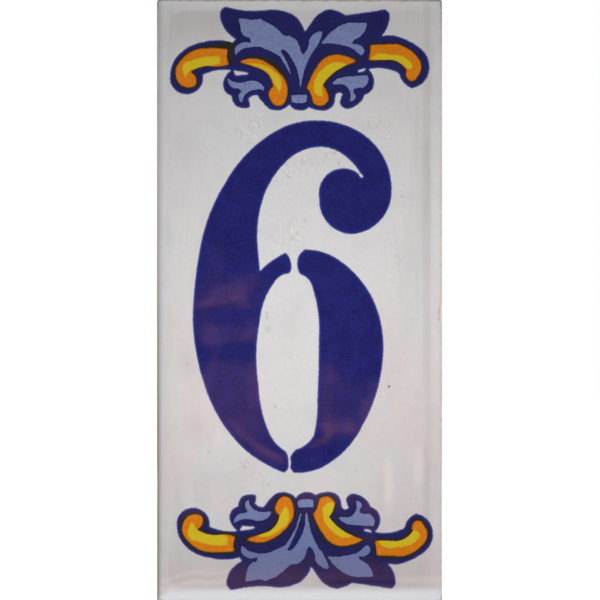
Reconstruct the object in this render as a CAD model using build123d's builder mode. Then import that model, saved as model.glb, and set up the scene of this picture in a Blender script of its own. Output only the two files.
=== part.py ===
"""House number tile: a glazed tile with a stencilled numeral between two scroll ornaments.

Millimetres. The tile stands upright with its back on the plane Y = 0, the wall, and its glazed
front towards -Y. X runs to the right across the front and Z runs up. The origin is the middle
of the back.
"""
import os

from build123d import *

# Tile body
TILE_WIDTH = 71.0
TILE_HEIGHT = 150.0
TILE_THICKNESS = 7.0
CORNER_RADIUS = 0.7
CUSHION_WIDTH = 1.9  # rounded front edge: how far in from the side it starts
CUSHION_DROP = 0.6  # and how far it falls before the arris
ARRIS_RADIUS = 0.3
BACK_BEVEL = 0.5

# Key on the back: shallow drafted pockets with ribs between them
KEY_BORDER = 4.5
KEY_RIB = 2.5
KEY_DEPTH = 0.8
KEY_DRAFT = 20.0
KEY_COLUMNS = 3
KEY_ROWS = 7

# Colours fired onto the glaze
ENAMEL_THICKNESS = 0.12
UPPER_LEFT_MARGIN = 3.25
UPPER_RIGHT_MARGIN = 3.0
UPPER_END_MARGIN = 1.8
UPPER_DEPTH = 25.9
LOWER_LEFT_MARGIN = 4.9
LOWER_RIGHT_MARGIN = 1.5
LOWER_END_MARGIN = 2.3
LOWER_DEPTH = 25.0
NUMERAL_LEFT_MARGIN = 8.87
NUMERAL_RIGHT_MARGIN = 12.53
NUMERAL_GAP_ABOVE = 2.4
NUMERAL_GAP_BELOW = 4.6

# The drawings are made on squared grids, which are then stretched to the sizes above
ORNAMENT_SQUARES = (259, 103)
NUMERAL_SQUARES = (199, 353)

os.makedirs("parts", exist_ok=True)


def front_plane(x, z, layer):
    """Plane facing the viewer at (x, z), on top of so many layers of colour."""
    front = TILE_THICKNESS + layer * ENAMEL_THICKNESS
    return Plane(origin=(x, -front, z), x_dir=(1, 0, 0), z_dir=(0, -1, 0))


def field(grid, *stretches, mode=Mode.ADD):
    """Field of colour. Its outline runs in arcs and turns a corner between its stretches.

    Each stretch goes on from the end of the one before, and the last one closes the outline. Its
    points lie in pairs: one that an arc passes, and one where it ends. A point left over is reached
    by an arc that runs on from the last one, or by a line if it is the only point.
    """
    runs = [[(x * grid[0], y * grid[1]) for x, y in stretch] for stretch in stretches]
    runs[-1].append(runs[0][0])
    corner = runs[0].pop(0)
    with BuildLine() as outline:
        for run in runs:
            for passed, end in zip(run[::2], run[1::2]):
                arc = ThreePointArc(corner, passed, end)
                corner = end
            if len(run) == 1:
                Line(corner, run[-1])
            elif len(run) % 2:
                TangentArc(corner, run[-1], tangent=arc % 1)
            corner = run[-1]
    make_face(outline.edges(), mode=mode)


# Tile
def cushion_section(length):
    """Section across the tile: square at the back, rounded over towards the front edges."""
    side = length / 2
    shoulder = TILE_THICKNESS - CUSHION_DROP
    flat = side - CUSHION_WIDTH
    with BuildLine() as section:
        Polyline((-side, shoulder), (-side, 0), (side, 0), (side, shoulder))
        TangentArc((flat, TILE_THICKNESS), (side, shoulder), tangent=(1, 0))
        Line((flat, TILE_THICKNESS), (-flat, TILE_THICKNESS))
        TangentArc((-flat, TILE_THICKNESS), (-side, shoulder), tangent=(-1, 0))
    make_face(section.edges())


key_pitch_x = (TILE_WIDTH - 2 * KEY_BORDER + KEY_RIB) / KEY_COLUMNS
key_pitch_z = (TILE_HEIGHT - 2 * KEY_BORDER + KEY_RIB) / KEY_ROWS

with BuildPart() as tile:
    with BuildSketch(Plane.XZ):
        RectangleRounded(TILE_WIDTH, TILE_HEIGHT, CORNER_RADIUS)
    extrude(amount=TILE_THICKNESS)
    across_width = Plane(origin=(0, 0, 0), x_dir=(1, 0, 0), z_dir=(0, 0, -1))
    with BuildSketch(across_width):
        cushion_section(TILE_WIDTH)
    extrude(amount=TILE_HEIGHT / 2, both=True, mode=Mode.INTERSECT)
    across_height = Plane(origin=(0, 0, 0), x_dir=(0, 0, 1), z_dir=(1, 0, 0))
    with BuildSketch(across_height):
        cushion_section(TILE_HEIGHT)
    extrude(amount=TILE_WIDTH / 2, both=True, mode=Mode.INTERSECT)
    sides = tile.faces().filter_by(lambda face: abs(face.normal_at().Y) < 0.01)
    front_rim = sides.edges().filter_by(lambda edge: edge.center().Y < -TILE_THICKNESS / 2)
    fillet(front_rim, ARRIS_RADIUS)
    back = tile.faces().sort_by(Axis.Y)[-1]
    chamfer(back.edges(), BACK_BEVEL)
    with BuildSketch(Plane.XZ):
        with GridLocations(key_pitch_x, key_pitch_z, KEY_COLUMNS, KEY_ROWS):
            Rectangle(key_pitch_x - KEY_RIB, key_pitch_z - KEY_RIB)
    extrude(amount=KEY_DEPTH, taper=KEY_DRAFT, mode=Mode.SUBTRACT)
tile.part.label = "tile"
export_step(tile.part, "parts/tile.step")

# Numeral, drawn from its baseline up and about its own middle
upper_edge = TILE_HEIGHT / 2 - UPPER_END_MARGIN
lower_edge = -TILE_HEIGHT / 2 + LOWER_END_MARGIN
numeral_top = upper_edge - UPPER_DEPTH - NUMERAL_GAP_ABOVE
numeral_baseline = lower_edge + LOWER_DEPTH + NUMERAL_GAP_BELOW
numeral_middle = (NUMERAL_LEFT_MARGIN - NUMERAL_RIGHT_MARGIN) / 2
numeral_grid = (
    (TILE_WIDTH - NUMERAL_LEFT_MARGIN - NUMERAL_RIGHT_MARGIN) / NUMERAL_SQUARES[0],
    (numeral_top - numeral_baseline) / NUMERAL_SQUARES[1],
)


def numeral_stem(grid):
    """Left stroke: the long back of the figure, from its foot to the ball at the top."""
    inside_hook = [
        (70, 296), (64, 306), (51, 318.5), (38, 325), (24, 326), (8, 321.5), (-7, 310.5),
        (-20, 294), (-29.5, 273), (-34, 251), (-34.5, 230), (-32, 203),
    ]
    branch = [(-22, 211.5), (-12, 218), (-6.5, 221)]
    bridge = [(-2, 214.5), (-0.5, 208), (-2.5, 200)]
    inside_bowl = [
        (-11, 197.5), (-18.5, 189.5), (-25, 179), (-32, 153), (-35.5, 123), (-33.5, 88),
        (-30, 62), (-22, 39), (-16, 30), (-6.5, 22.5),
    ]
    foot = [(-4, 17), (-3, 11), (-4, 5), (-8, 0.5)]
    outside = [
        (-27, 9.5), (-49, 25), (-70, 50.5), (-87, 86), (-96.5, 123), (-99.5, 155), (-97.5, 188),
        (-92, 226), (-82, 261), (-67, 290.5), (-49, 316), (-22, 339), (8, 351.5), (24, 353),
        (51, 349), (72, 338.5), (90, 319), (99.5, 285),
    ]
    ball = [(88, 252.5), (60, 239), (31, 256.5), (27, 275), (34, 298), (49, 305)]
    field(grid, inside_hook, branch, bridge, inside_bowl, foot, outside + ball)


def numeral_bowl(grid):
    """Right stroke: the outer half of the bowl."""
    outside = [
        (13, 224), (28.5, 222), (49, 212), (69, 193), (83.5, 168.5), (91, 136), (90.5, 111),
        (84, 79), (70, 47), (51, 21), (28, 5), (8, 0.5), (2, 0.5),
    ]
    foot = [(-1, 3.5), (-2, 9), (-1.5, 17), (4, 24)]
    inside = [
        (13, 28.5), (21.5, 38), (23.5, 48), (25, 73), (26.5, 113), (26.5, 133), (23, 176),
        (19.5, 188), (8, 199),
    ]
    bridge = [(6, 203), (5, 211), (7.5, 219)]
    field(grid, outside, foot, inside, bridge)


with BuildPart() as numeral:
    with BuildSketch(front_plane(numeral_middle, numeral_baseline, 0)):
        numeral_stem(numeral_grid)
        numeral_bowl(numeral_grid)
    extrude(amount=ENAMEL_THICKNESS)
numeral.part.label = "numeral"
export_step(numeral.part, "parts/numeral.step")


# Ornament, drawn from the leaf tips down, about its middle line
def ornament_outline(grid):
    """Dark ground of the ornament: two leaves on a stem, over two pairs of scrolls."""
    left_leaf = [
        (5, -25), (0, -14.5), (-5, -9), (-15, -4.5), (-35, -3.5), (-60, -3), (-70, -1), (-74.5, 0),
    ]
    left_leaf_end = [(-79, -4), (-80, -9), (-77.5, -18), (-73.5, -24.5), (-64.5, -32)]
    left_notch = [(-67, -35.5)]
    left_scroll = [
        (-84, -33), (-96.5, -35), (-109.5, -39), (-119.5, -46), (-127.5, -57.5), (-129.5, -68.5),
        (-126, -81), (-116, -86.5), (-107.5, -86), (-98.5, -78.5), (-96.5, -67.5),
    ]
    left_scroll_under = [(-84, -63.5), (-68.5, -63)]
    left_curl = [(-73, -67), (-77, -77), (-73.5, -85.5), (-68.5, -88.5)]
    left_curl_end = [(-66.5, -95), (-64, -98.5), (-58.5, -100.5), (-49.5, -99.5)]
    left_curl_notch = [(-50, -96), (-51, -91.5), (-48.5, -89), (-42.5, -88)]
    left_inner_scroll = [(-36, -96.5), (-30.5, -101.5), (-23.5, -103), (-10.5, -97.5)]
    boss = [(-7.5, -100.5), (0, -103), (6, -102), (9, -100)]
    right_inner_scroll = [(18.5, -103), (25, -103), (30, -101), (35, -92), (36, -87)]
    right_curl_notch = [(38.5, -85.5), (42, -87), (40, -92), (39.5, -95.5)]
    right_curl_end = [(41.5, -99), (48, -101.5), (54.5, -99), (59.5, -95.5), (64, -88)]
    right_curl = [(68, -86), (72, -82), (74, -75.5), (73.5, -70), (68, -62)]
    right_scroll_under = [(84, -61.5), (96.5, -65), (99, -67.5)]
    right_scroll = [
        (102.5, -74.5), (111.5, -81), (121.5, -76.5), (129, -61), (128, -52.5), (120.5, -41.5),
        (108, -33.5), (96, -29), (81.5, -29),
    ]
    right_leaf_end = [(87, -21), (89.5, -10.5), (88.5, -5.5), (84, -2.5)]
    right_leaf = [(76, -4), (66, -5.5), (52.5, -7.5), (45.5, -8.5)]
    right_leaf_lobe = [(39.5, -5), (29.5, -2.5), (21, -5.5), (13, -13), (8.5, -19.5)]
    field(
        grid, left_leaf, left_leaf_end, left_notch, left_scroll, left_scroll_under, left_curl,
        left_curl_end, left_curl_notch, left_inner_scroll, boss, right_inner_scroll,
        right_curl_notch, right_curl_end, right_curl, right_scroll_under, right_scroll,
        right_leaf_end, right_leaf, right_leaf_lobe,
    )
    left_gap = [(-66, -63.5), (-55, -65), (-48.5, -66.5)]
    field(grid, left_gap, [(-57, -67.5), (-64, -68)], [], mode=Mode.SUBTRACT)
    right_gap = [(56, -63.5), (62, -62), (66.5, -60.5)]
    field(grid, right_gap, [(62.5, -64)], mode=Mode.SUBTRACT)


def ornament_leaves(grid):
    """Pale fields: the left leaf with its stem, the right leaf, both curls and the boss."""
    left_leaf = [(-60.5, -12), (-50.5, -12.5), (-40, -10.5)]
    left_leaf_fall = [
        (-30.5, -16.5), (-19.5, -26), (-15.5, -29), (-10.5, -29.5), (-2.5, -36), (-0.5, -42),
        (2.5, -48),
    ]
    stem_fork = [(6, -45), (9.5, -34), (16.5, -26), (22, -25)]
    stem_right = [(18.5, -35), (11.5, -45.5), (4.5, -61), (0.5, -80.5)]
    stem_left = [(-3, -61), (-10.5, -47.5), (-14, -43.5), (-17.5, -42), (-19.5, -44.5)]
    vein = [(-14, -54.5), (-9.5, -67)]
    left_leaf_under = [
        (-15.5, -55.5), (-19.5, -49), (-24.5, -46), (-32, -42.5), (-44, -39), (-52, -40),
        (-58, -42), (-64, -47.5),
    ]
    left_leaf_tail = [(-63, -39.5), (-60, -37), (-49, -36.5)]
    left_leaf_end = [(-48.5, -34), (-50, -30.5), (-54, -29.5), (-58, -24), (-59.5, -17.5)]
    field(
        grid, left_leaf, left_leaf_fall, stem_fork, stem_right, stem_left, vein,
        left_leaf_under, left_leaf_tail, left_leaf_end,
    )
    right_leaf = [(22, -36.5), (25, -32), (35, -22.5), (46.5, -17), (56, -16.5), (66, -16.5)]
    right_leaf_end = [(64, -24), (54.5, -32), (52.5, -38)]
    right_leaf_tail = [(61, -39.5), (63, -42), (60.5, -48)]
    right_leaf_under = [(54.5, -42.5), (49.5, -39.5), (41.5, -37.5), (32, -36)]
    field(grid, right_leaf, right_leaf_end, right_leaf_tail, right_leaf_under)
    left_curl = [(-72, -71.5), (-68, -74), (-53.5, -75), (-45, -74), (-37, -79), (-36, -82.5)]
    left_curl_under = [(-46.5, -82), (-51.5, -84), (-55, -87), (-58, -94.5)]
    left_curl_end = [(-59.5, -93), (-57, -84)]
    left_curl_back = [(-59, -82), (-65.5, -80.5), (-69.5, -77.5)]
    field(grid, left_curl, left_curl_under, left_curl_end, left_curl_back)
    right_curl = [(33, -76), (38, -72), (44, -70), (59.5, -69), (67, -68.5)]
    right_curl_under = [
        (66, -77), (62.5, -80), (56.5, -80), (53, -81.5), (53, -85.5), (55, -88.5), (52.5, -92.5),
        (50, -93),
    ]
    right_curl_back = [(50, -83.5), (47.5, -79.5), (44, -77), (38, -76.5)]
    field(grid, right_curl, right_curl_under, right_curl_back)
    field(grid, [(-8, -88), (6.5, -88)], [(6, -94)], [(-3, -95), (-8, -93.5)], [])


def ornament_scrolls(grid):
    """Orange fields: an outer and an inner scroll on each side, each ending in a round knob."""
    left_outer = [
        (-71.5, -42.5), (-80.5, -41.5), (-98.5, -41.5), (-110.5, -46), (-119.5, -54.5),
        (-124, -66.5), (-119, -77), (-110, -80), (-104, -77.5), (-103.5, -72.5), (-109.5, -64.5),
    ]
    left_outer_under = [(-103, -61), (-90, -58.5), (-75.5, -58.5), (-70.5, -57)]
    field(grid, left_outer, left_outer_under, [(-73, -49.5)])
    left_inner = [
        (-60.5, -55), (-50.5, -51.5), (-37, -53.5), (-24.5, -61.5), (-14.5, -74), (-12.5, -83),
        (-15.5, -95), (-20.5, -98), (-29, -92), (-31, -86.5), (-26.5, -79.5),
    ]
    field(grid, left_inner, [(-30.5, -68.5), (-40.5, -61)])
    right_inner = [
        (57, -54), (51, -51), (36.5, -47.5), (30, -48.5), (17.5, -59), (9.5, -73.5), (7, -80.5),
    ]
    right_inner_knob = [(9.5, -84), (13, -95), (21.5, -98), (28.5, -91.5), (26, -83), (22.5, -77.5)]
    field(grid, right_inner, right_inner_knob, [(30, -68.5), (44, -59)])
    right_outer = [
        (70.5, -38), (83, -37.5), (96, -37), (108, -42), (118.5, -52), (120.5, -57.5),
        (116.5, -69.5), (112, -73.5), (108, -72), (106.5, -63),
    ]
    right_outer_under = [(100, -56), (87, -52.5), (68.5, -53)]
    field(grid, right_outer, right_outer_under, [(70, -45)])


def ornament_highlights(grid):
    """Yellow lights along the inner side of each scroll."""
    left_outer = [(-80, -49.5), (-95.5, -50), (-109.5, -54), (-116, -57), (-117, -63.5), (-114, -71)]
    field(grid, left_outer, [(-111.5, -65.5), (-108, -62), (-90, -59), (-79.5, -56.5)], [])
    left_inner = [(-47.5, -58), (-39, -58.5), (-26, -66), (-18, -78.5), (-21, -87)]
    field(grid, left_inner, [(-24.5, -80), (-30.5, -68.5), (-40.5, -61)])
    right_inner = [
        (46.5, -57), (35, -55), (23.5, -61), (15, -72.5), (14, -78.5), (19.5, -88.5), (23, -88.5),
    ]
    field(grid, right_inner, [(22.5, -79), (30, -68.5), (44, -59)])
    right_outer = [(73.5, -52), (80, -47), (91, -48), (105.5, -51), (111.5, -56.5), (107, -61.5)]
    field(grid, right_outer, [(100, -56), (87, -52.5)])


ORNAMENT_LAYERS = {
    "outline": (ornament_outline, 0),
    "leaves": (ornament_leaves, 1),
    "scrolls": (ornament_scrolls, 1),
    "highlights": (ornament_highlights, 2),
}
# The lower ornament is the upper one turned over
ORNAMENT_PLACES = [
    (UPPER_LEFT_MARGIN, UPPER_RIGHT_MARGIN, upper_edge, UPPER_DEPTH),
    (LOWER_LEFT_MARGIN, LOWER_RIGHT_MARGIN, lower_edge, -LOWER_DEPTH),
]

for colour, (draw, layer) in ORNAMENT_LAYERS.items():
    with BuildPart() as ornament:
        for left_margin, right_margin, edge, depth in ORNAMENT_PLACES:
            middle = (left_margin - right_margin) / 2
            step_x = (TILE_WIDTH - left_margin - right_margin) / ORNAMENT_SQUARES[0]
            step_z = depth / ORNAMENT_SQUARES[1]
            with BuildSketch(front_plane(middle, edge, layer)):
                draw((step_x, step_z))
        extrude(amount=ENAMEL_THICKNESS)
    ornament.part.label = f"ornament_{colour}"
    export_step(ornament.part, f"parts/ornament_{colour}.step")
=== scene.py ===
# %% [markdown]
# # A glazed house number tile
# The object is one pressed clay tile. Its front is dipped in a white glaze, and the numeral and the
# two ornaments are colours that were printed on that glaze and fired into it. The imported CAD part
# gives the size, the cushioned edge, the keyed back and every outline. This lesson keeps all of
# those and adds what a plain solid lacks: a glaze that is not quite flat, clay where the glaze
# ends, and colours that bleed a little at their edges.

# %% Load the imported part
import math

import bmesh
import bpy
import numpy as np
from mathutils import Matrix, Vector
from mathutils.geometry import delaunay_2d_cdt
from mathutils.kdtree import KDTree


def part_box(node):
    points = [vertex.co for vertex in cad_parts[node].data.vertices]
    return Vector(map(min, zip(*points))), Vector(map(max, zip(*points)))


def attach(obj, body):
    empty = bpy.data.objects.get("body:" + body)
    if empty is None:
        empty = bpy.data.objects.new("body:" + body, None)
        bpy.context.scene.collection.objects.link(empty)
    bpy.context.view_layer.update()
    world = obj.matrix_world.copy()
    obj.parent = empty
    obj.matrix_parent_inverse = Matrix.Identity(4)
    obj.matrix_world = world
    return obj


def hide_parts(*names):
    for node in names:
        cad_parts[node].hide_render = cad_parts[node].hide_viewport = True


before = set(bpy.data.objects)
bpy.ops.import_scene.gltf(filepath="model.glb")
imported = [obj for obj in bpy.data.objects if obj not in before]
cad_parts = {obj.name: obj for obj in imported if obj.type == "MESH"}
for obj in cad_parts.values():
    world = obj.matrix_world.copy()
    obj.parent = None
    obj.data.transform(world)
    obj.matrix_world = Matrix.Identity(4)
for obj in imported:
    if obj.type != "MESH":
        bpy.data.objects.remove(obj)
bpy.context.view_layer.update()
MM = 0.001
tile_low, tile_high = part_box("tile")
HALF_WIDTH = tile_high.x / MM
HALF_HEIGHT = tile_high.z / MM
THICKNESS = -tile_low.y / MM
print(f"The tile is {2 * HALF_WIDTH:.1f} by {2 * HALF_HEIGHT:.1f} by {THICKNESS:.1f} mm")
print("Its nodes are", *sorted(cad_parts))

# %% [markdown]
# ## Writing nodes as sums
# A tree with many Math nodes is hard to read as node code, and easy to read as a sum. The class
# below holds one socket of a tree. Its operators add Math nodes, and its method `add` adds any
# other node: first its settings, then the values or links of its inputs.


# %% A socket that Python can calculate with
class Wire:
    """One socket of a node tree. Sums and products of wires add Math nodes to the tree."""

    def __init__(self, tree, socket=None):
        self.tree = tree
        self.socket = socket

    def add(self, kind, settings=None, inputs=None, output=0):
        node = self.tree.nodes.new(kind)
        for name, value in (settings or {}).items():
            setattr(node, name, value)
        for key, value in (inputs or {}).items():
            if isinstance(value, Wire):
                self.tree.links.new(value.socket, node.inputs[key])
            else:
                node.inputs[key].default_value = value
        return Wire(self.tree, node.outputs[output]) if node.outputs else None

    def other(self, output):
        """Another output of the same node."""
        return Wire(self.tree, self.socket.node.outputs[output])

    def maths(self, operation, first, second=0.0, third=0.0):
        inputs = {0: first, 1: second, 2: third}
        return self.add("ShaderNodeMath", {"operation": operation}, inputs)

    def __add__(self, value):
        return self.maths("ADD", self, value)

    def __sub__(self, value):
        return self.maths("SUBTRACT", self, value)

    def __rsub__(self, value):
        return self.maths("SUBTRACT", value, self)

    def __mul__(self, value):
        return self.maths("MULTIPLY", self, value)

    __radd__ = __add__
    __rmul__ = __mul__

    def size(self):
        """Value without its sign."""
        return self.maths("ABSOLUTE", self)

    def at_least(self, value):
        """The larger of this wire and a value."""
        return self.maths("MAXIMUM", self, value)

    def climb(self, low, high):
        """0 up to low, 1 from high on and a smooth climb between. It falls if low is above high."""
        limits = {"Value": self, "From Min": low, "From Max": high}
        return self.add("ShaderNodeMapRange", {"interpolation_type": "SMOOTHSTEP"}, limits)

    def band(self, low, full_from, full_to, high):
        """0 outside low and high, 1 between the two values inside them, with smooth climbs."""
        return self.climb(low, full_from) * self.climb(high, full_to)

    def mix(self, first, second):
        """Colour from first to second, with this wire as the share of the second."""
        inputs = {0: self, 6: first, 7: second}
        return self.add("ShaderNodeMix", {"data_type": "RGBA"}, inputs, output=2)

    def split(self, part="X"):
        """One part of a vector. The method other gives the two parts beside it."""
        return self.add("ShaderNodeSeparateXYZ", inputs={0: self}, output=part)

    def vectors(self, operation, second, output=0):
        """Vector Math of this wire and a second vector."""
        settings = {"operation": operation}
        return self.add("ShaderNodeVectorMath", settings, {0: self, 1: second}, output)

    def scaled(self, factors):
        """Vector times three numbers, part by part."""
        return self.vectors("MULTIPLY", factors)

    def times(self, factor):
        """Vector times one wire."""
        inputs = {0: self, "Scale": factor}
        return self.add("ShaderNodeVectorMath", {"operation": "SCALE"}, inputs)

    def far_from(self, point):
        """Distance of a place from a fixed point."""
        return self.vectors("DISTANCE", point, output="Value")

    def noise(self, size, seed, detail=2.0, output=0):
        """Noise with blots of about this size, read at this wire as the place."""
        inputs = {"Vector": self, "W": seed, "Scale": 1 / size, "Detail": detail}
        return self.add("ShaderNodeTexNoise", {"noise_dimensions": "4D"}, inputs, output)


# %% [markdown]
# ## Geometry Nodes trees from Python
# Two trees shape this object: one lays the glaze on the tile, and one turns a flat field of colour
# into a thin fired film. `new_tree` makes a tree with named inputs. `run_tree` sets those inputs by
# their identifiers, evaluates the tree once and keeps the result as a plain mesh, because the
# export takes no modifiers.


# %% Trees with named inputs
def new_tree(name, inputs):
    """Empty Geometry Nodes tree. Returns it, and the wire of its incoming geometry."""
    tree = bpy.data.node_groups.new(name, "GeometryNodeTree")
    for side in ("INPUT", "OUTPUT"):
        tree.interface.new_socket("Geometry", in_out=side, socket_type="NodeSocketGeometry")
    for title, kind in inputs.items():
        tree.interface.new_socket(title, in_out="INPUT", socket_type=f"NodeSocket{kind}")
    return tree, Wire(tree).add("NodeGroupInput")


def moved(geometry, offset):
    """Geometry with its points moved by an offset."""
    inputs = {"Geometry": geometry, "Offset": offset}
    return geometry.add("GeometryNodeSetPosition", inputs=inputs)


def backwards(distance):
    """Vector that points to the back of the tile by a distance."""
    return distance.add("ShaderNodeCombineXYZ", inputs={"Y": distance})


def end_tree(geometry, material):
    """Realize Instances and Set Material, as the last steps of a tree."""
    real = geometry.add("GeometryNodeRealizeInstances", inputs={"Geometry": geometry})
    painted = real.add("GeometryNodeSetMaterial", inputs={"Geometry": real, "Material": material})
    painted.add("NodeGroupOutput", inputs={0: painted})


def run_tree(piece, tree, values):
    """Puts the tree on the piece with these input values, and keeps its result as a plain mesh."""
    modifier = piece.modifiers.new(tree.name, "NODES")
    modifier.node_group = tree
    for item in tree.interface.items_tree:
        if item.in_out == "INPUT" and item.name in values:
            modifier[item.identifier] = values[item.name]
    evaluated = piece.evaluated_get(bpy.context.evaluated_depsgraph_get())
    mesh = bpy.data.meshes.new_from_object(evaluated)
    piece.modifiers.remove(modifier)
    piece.data = mesh
    mesh.name = piece.name
    counts = f"{len(mesh.vertices)} vertices, {len(mesh.polygons)} faces"
    print(f"{piece.name}: {counts} after {tree.name}")


def new_object(name, data):
    new = bpy.data.objects.new(name, data)
    bpy.context.scene.collection.objects.link(new)
    return new


# %% [markdown]
# ## Glaze and its gloss
# A dipped glaze is glass: smooth, glossy, and never quite flat. Long waves show how it flowed, it
# stands a little thicker in a bead just inside the edge, and from there it rolls over, with rounded
# corners. All of that is real shape, so it goes into the meshes, and the tile and the colours on it
# take it from the same sum. The fine orange peel and the pits of burst bubbles are too small for a
# mesh, so they are a bump in every glazed material. The bare glaze also has a few ragged rough
# patches. All lengths here are in millimetres.

# %% Waves, bead, peel, pits and rough patches
LONG_WAVE, LONG_WAVE_HEIGHT = 22.0, 0.03
SHORT_WAVE, SHORT_WAVE_HEIGHT = 7.0, 0.010
WAVE_STRETCH = (0.6, 0, 1)
BEAD_PLACE, BEAD_OUTSIDE, BEAD_INSIDE, BEAD_HEIGHT = 3.2, 1.6, 2.2, 0.006
ROLL_WIDTH, ROLL_DROP, ROLL_CORNER = 5.0, 0.20, 7.0
PEEL, PEEL_HEIGHT = 1.8, 0.0005
PIT_SPACING, PIT_RADIUS, PIT_DEPTH = 6.0, 0.7, 0.012
ROUGH, ROUGH_HEIGHT = 1.1, 0.15
ROUGH_LUMPS, ROUGH_EDGE = (0.48, 0.70), (0.25, 0.9)
ROUGH_PATCHES = [
    (-12.3, 42.3, 6), (-3.6, 31.8, 5), (2.2, 34, 3.5), (8.2, 35.2, 5),
    (-4.5, 17, 5.5), (0.6, 17.8, 5.5), (-9, -3.7, 4), (24.1, 10, 2.2),
    (23.8, 4.6, 2.6), (19.8, 42.8, 6.5), (-14, -41.2, 2.6), (-8.8, -45, 3.2),
]
ROUND_CORE = 0.3
FLAT = (1, 0, 1)
GLASS_IOR, GLOSS_ROUGHNESS = 1.5, 0.02


def gap_to_edge(place, corner=0.0):
    """Distance from a place on the front to the nearest edge, with round corners."""
    split = place.split()
    side = HALF_WIDTH - split.size()
    return side.maths("SMOOTH_MIN", side, HALF_HEIGHT - split.other("Z").size(), corner)


def glaze_height(start):
    """Height of the glaze over its mean level, in metres, for the point that the tree is at."""
    place = start.add("GeometryNodeInputPosition").scaled((1 / MM, 0, 1 / MM))
    stretched = place.scaled(WAVE_STRETCH)
    waves = (stretched.noise(LONG_WAVE, 1.0, 1.0) - 0.5) * LONG_WAVE_HEIGHT
    waves = waves + (stretched.noise(SHORT_WAVE, 2.0, 1.0) - 0.5) * SHORT_WAVE_HEIGHT
    gap = gap_to_edge(place, ROLL_CORNER)
    bead = gap.band(BEAD_PLACE - BEAD_OUTSIDE, BEAD_PLACE, BEAD_PLACE, BEAD_PLACE + BEAD_INSIDE)
    roll = (1 - gap * (1 / ROLL_WIDTH)).at_least(0.0)
    return (waves + bead * BEAD_HEIGHT - roll * roll * roll * ROLL_DROP) * MM


def new_material(name, **settings):
    """Glossy material. Returns it, and the wire of the place on it in millimetres."""
    material = bpy.data.materials.new(name)
    material.use_nodes = True
    shader = material.node_tree.nodes["Principled BSDF"]
    for title, value in {"Roughness": GLOSS_ROUGHNESS, "IOR": GLASS_IOR, **settings}.items():
        shader.inputs[title].default_value = value
    start = Wire(material.node_tree)
    place = start.add("ShaderNodeTexCoord", output="Object").scaled((1 / MM, 1 / MM, 1 / MM))
    return material, place


def glaze_relief(place):
    """Height of the orange peel and the pits of the glaze."""
    cells = {"Vector": place.vectors("ADD", (31, 31, 31)), "Scale": 1 / PIT_SPACING}
    pits = place.add("ShaderNodeTexVoronoi", inputs=cells)
    pits = pits.climb(PIT_RADIUS / PIT_SPACING, 0.0) * PIT_DEPTH
    return place.noise(PEEL, 3.0, 2.0) * PEEL_HEIGHT - pits


def round_spot(flat, x, z, radius):
    """1 in the middle of a round spot on the front and 0 outside it."""
    return flat.far_from((x, 0, z)).climb(radius, ROUND_CORE * radius)


def rough_share(flat):
    """Share of the ragged rough patches of the bare glaze."""
    patchy = flat.noise(3.0, 3.5, 3.0) * 2.4 - 0.3
    rough = 0.0
    for x, z, radius in ROUGH_PATCHES:
        rough = round_spot(flat, x, z, radius) + rough
    return (rough * patchy).climb(*ROUGH_EDGE)


def rough_relief(place):
    """Height of the rough patches."""
    flat = place.scaled(FLAT)
    return rough_share(flat) * flat.noise(ROUGH, 3.7, 2.0).climb(*ROUGH_LUMPS) * ROUGH_HEIGHT


def dress(material, **inputs):
    """Links wires to the inputs of a material's shader, with the height as a bump."""
    shader = material.node_tree.nodes["Principled BSDF"]
    for title, wire in inputs.items():
        if title == "height":
            wire = wire.add("ShaderNodeBump", inputs={"Height": wire, "Distance": MM})
            title = "normal"
        material.node_tree.links.new(wire.socket, shader.inputs[title.replace("_", " ").title()])


# %% [markdown]
# ## White glaze over clay
# The glaze is a warm grey white with faint pink clouds, grey vertical streaks towards both sides,
# a fine grain and a few dark specks. The pink is stronger low on the tile and at the sides, where
# it is partly a painted warm reflection. Creamy, grey and brown clouds lie beside the numeral: the
# creamy ones low on the right are a painted reflection, and a cool strip along the left edge is a
# painted reflection of bluish light. Along the right edge it is faintly rusty. Two lists place what
# doesn't repeat: a cloud is its middle, half width, half height, share and colour, and a speck is
# its middle, radius and share.

# %% White glaze and clay colours
GLAZE_WHITE = (0.71, 0.7, 0.702, 1)
GLAZE_PINK = (0.725, 0.625, 0.63, 1)
GLAZE_GREY = (0.6, 0.595, 0.595, 1)
# The next colour is painted shade, for the darker bands inside the edges
GLAZE_SHADED = (0.545, 0.51, 0.5, 1)
# The next colour is partly pooled glaze and partly a painted highlight along the bottom edge
GLAZE_POOL_AND_HIGHLIGHT = (0.836, 0.828, 0.846, 1)
GLAZE_RUN = (0.85, 0.745, 0.73, 1)
GLAZE_CREAM = (0.8, 0.752, 0.73, 1)
GLAZE_BROWN = (0.64, 0.55, 0.55, 1)
GLAZE_COOL = (0.645, 0.665, 0.69, 1)
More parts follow.
